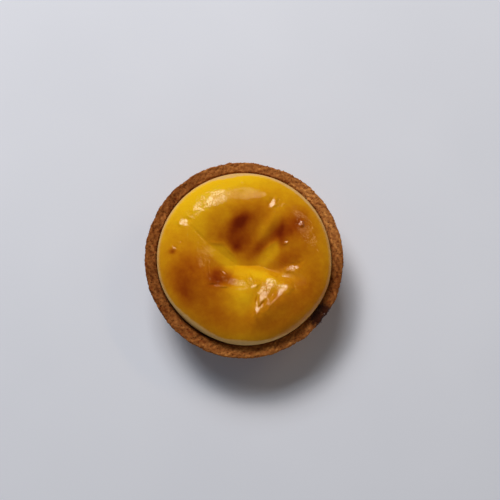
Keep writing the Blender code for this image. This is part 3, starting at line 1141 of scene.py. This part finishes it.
def custard_rings():
    """Rings from under the custard up to its basin, and how many reach up to the shoulder."""
    bearings = np.linspace(0, math.tau, CUSTARD_SEGMENTS, endpoint=False)
    directions = np.stack((np.cos(bearings), np.sin(bearings)), axis=1)
    level = np.ones((CUSTARD_SEGMENTS, 1))
    bottom = FLOOR_THICKNESS + GAP
    corner_top = FLOOR_THICKNESS + CAVITY_CORNER
    flat_radius = cavity_radius(bottom) - GAP - CAVITY_CORNER
    rings = [np.hstack((directions * flat_radius, level * bottom))]
    for height in np.linspace(corner_top, NECK_HEIGHT, SIDE_RINGS):
        rings.append(np.hstack((directions * (cavity_radius(height) - GAP), level * height)))
    neck = rings[-1][:, :2]
    shoulder = np.array(CUSTARD_CENTRE) + custard_outline(bearings)[:, None] * directions
    for share in np.linspace(0, 1, LIP_RINGS + 1)[1:]:
        plan = neck + (shoulder - neck) * math.sin(share * math.pi / 2)
        height = NECK_HEIGHT + (SHOULDER_HEIGHT - NECK_HEIGHT) * share
        rings.append(np.hstack((plan, level * height)))
    to_shoulder = len(rings)
    middle = np.array(BASIN_MIDDLE)
    for step in np.linspace(0, 1, DOME_RINGS + 1)[1:-1]:
        inward = EVEN_SPACING * step + (1 - EVEN_SPACING) * eased(step, 0.0, 1.0)
        x, y = (shoulder + (middle - shoulder) * inward).T
        rings.append(np.stack((x, y, taut_height(x, y)), axis=1))
    return rings, to_shoulder


def glaze_skin():
    """Geometry nodes: gives the glaze its fine ripples, and crinkles where they are marked."""
    graph, given = skin_graph("glaze skin", GLAZE_SIZES)
    place = graph.add("GeometryNodeInputPosition")
    normal = graph.add("GeometryNodeInputNormal")
    ripple = graph.mesh_level("ripple")
    crinkle = graph.mesh_level("crinkle")

    ripples = graph.noise(place, given["Ripple"], detail=1.0, rough=0.5) * given["Ripple depth"]
    peel = graph.noise(place, given["Peel"], detail=1.0, rough=0.5) * given["Peel depth"]
    cells = {"Vector": place, "Scale": 1 / given["Crinkle"]}
    creases = graph.add("ShaderNodeTexVoronoi", {"feature": "SMOOTH_F1"}, cells)
    depth = (ripples + peel) * ripple + creases * given["Crinkle depth"] * crinkle
    sunk = graph.moved(given["Geometry"], graph.times(normal, -depth))
    return finish_skin(graph, sunk, given["Material"])


def make_custard(material):
    rings, to_shoulder = custard_rings()
    x, y, z = np.concatenate(rings).T
    east = x - CUSTARD_CENTRE[0]
    north = y - CUSTARD_CENTRE[1]
    from_edge = custard_outline(np.arctan2(y, east)) - np.hypot(east, north)
    under = np.arange(len(x)) < to_shoulder * CUSTARD_SEGMENTS
    from_edge = np.where(under, z - SHOULDER_HEIGHT, from_edge)
    bare_width = read_round(np.degrees(np.arctan2(y, x)), BARE_EDGE) * MM
    in_sight = z > RIM_HEIGHT
    lowest = np.array(BASIN_MIDDLE)
    pole = (*lowest, float(custard_height(*lowest)))
    pole_browning = float(browning_at(lowest[:1], lowest[1:])[0])
    attributes = {
        "browning": (browning_at(x, y), 0.0, pole_browning),
        "bare_edge": (bare_width - from_edge, FAR_OUT, -FAR_OUT),
        "ripple": (marked(x, y, RIPPLED, PLAIN_RIPPLE) * in_sight, 0.0, PLAIN_RIPPLE),
        "crinkle": (marked(x, y, CRINKLED) * in_sight, 0.0, 0.0),
        "dull": (marked(x, y, DULL), 0.0, 0.0),
        "grainy": (marked(x, y, GRAINY), 0.0, 0.0),
    }
    under_middle = (0, 0, FLOOR_THICKNESS + GAP)
    piece = new_object("custard", ring_mesh("custard", rings, under_middle, pole, attributes))
    run_tree(piece, glaze_skin(), material)
    return piece


# ---------------------------------------------------------------- stage, light and camera


def aim(thing, target):
    thing.rotation_euler = (Vector(target) - thing.location).to_track_quat("-Z", "Y").to_euler()


def from_angle(azimuth, elevation):
    """A direction from the tart, by its azimuth and elevation in degrees, 1 m long."""
    across = math.cos(math.radians(elevation))
    return Vector(
        (
            across * math.cos(math.radians(azimuth)),
            across * math.sin(math.radians(azimuth)),
            math.sin(math.radians(elevation)),
        )
    )


def make_camera():
    data = bpy.data.cameras.new("camera")
    data.angle = 2 * math.atan(VIEW_WIDTH / 2 / EYE_DISTANCE)
    data.clip_start = 0.01
    camera = new_object("camera", data)
    camera.location = EYE_TARGET + from_angle(-90, EYE_ELEVATION) * EYE_DISTANCE
    aim(camera, EYE_TARGET)
    bpy.context.scene.camera = camera
    bpy.context.scene.view_settings.view_transform = "Standard"


def make_lights():
    for name, angles, size, power, mirrored, colour in LIGHTS:
        data = bpy.data.lights.new(name, "AREA")
        data.color = colour
        data.shape = "RECTANGLE"
        data.size, data.size_y = size
        data.energy = power
        light = new_object(name, data)
        light.visible_glossy = mirrored
        light.location = from_angle(*angles)
        aim(light, (0, 0, RIM_HEIGHT))
    world = bpy.data.worlds.new("room")
    bpy.context.scene.world = world
    world.use_nodes = True
    background = world.node_tree.nodes["Background"]
    background.inputs["Color"].default_value = ROOM_COLOUR
    background.inputs["Strength"].default_value = ROOM_STRENGTH


def make_floor():
    data = bpy.data.meshes.new("floor")
    reach = FLOOR_REACH
    corners = [(-reach, -reach), (reach, -reach), (reach, reach), (-reach, reach)]
    data.from_pydata([(x, y, -FLOOR_DROP) for x, y in corners], [], [(0, 1, 2, 3)])
    floor = new_object("floor", data)
    material, graph, surface, place = surface_graph("pale matt floor")
    tone = graph.mix(*FLOOR_COLOURS, graph.noise(place, 60 * MM, rough=0.5))
    graph.feed(surface, {"Base Color": tone, "Roughness": 0.8, "Specular IOR Level": 0.2})
    data.materials.append(material)


def main():
    make_camera()
    make_lights()
    make_floor()
    pastry = crust_material()
    crust = make_crust(pastry)
    crumbs = make_crumbs(crust, pastry)
    custard = make_custard(custard_material())
    for piece, slot in ((crust, "shortcrust"), (crumbs, "shortcrust"), (custard, "custard")):
        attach(piece, "root")
    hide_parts("tart_shell")
    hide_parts("cheese_filling")


main()
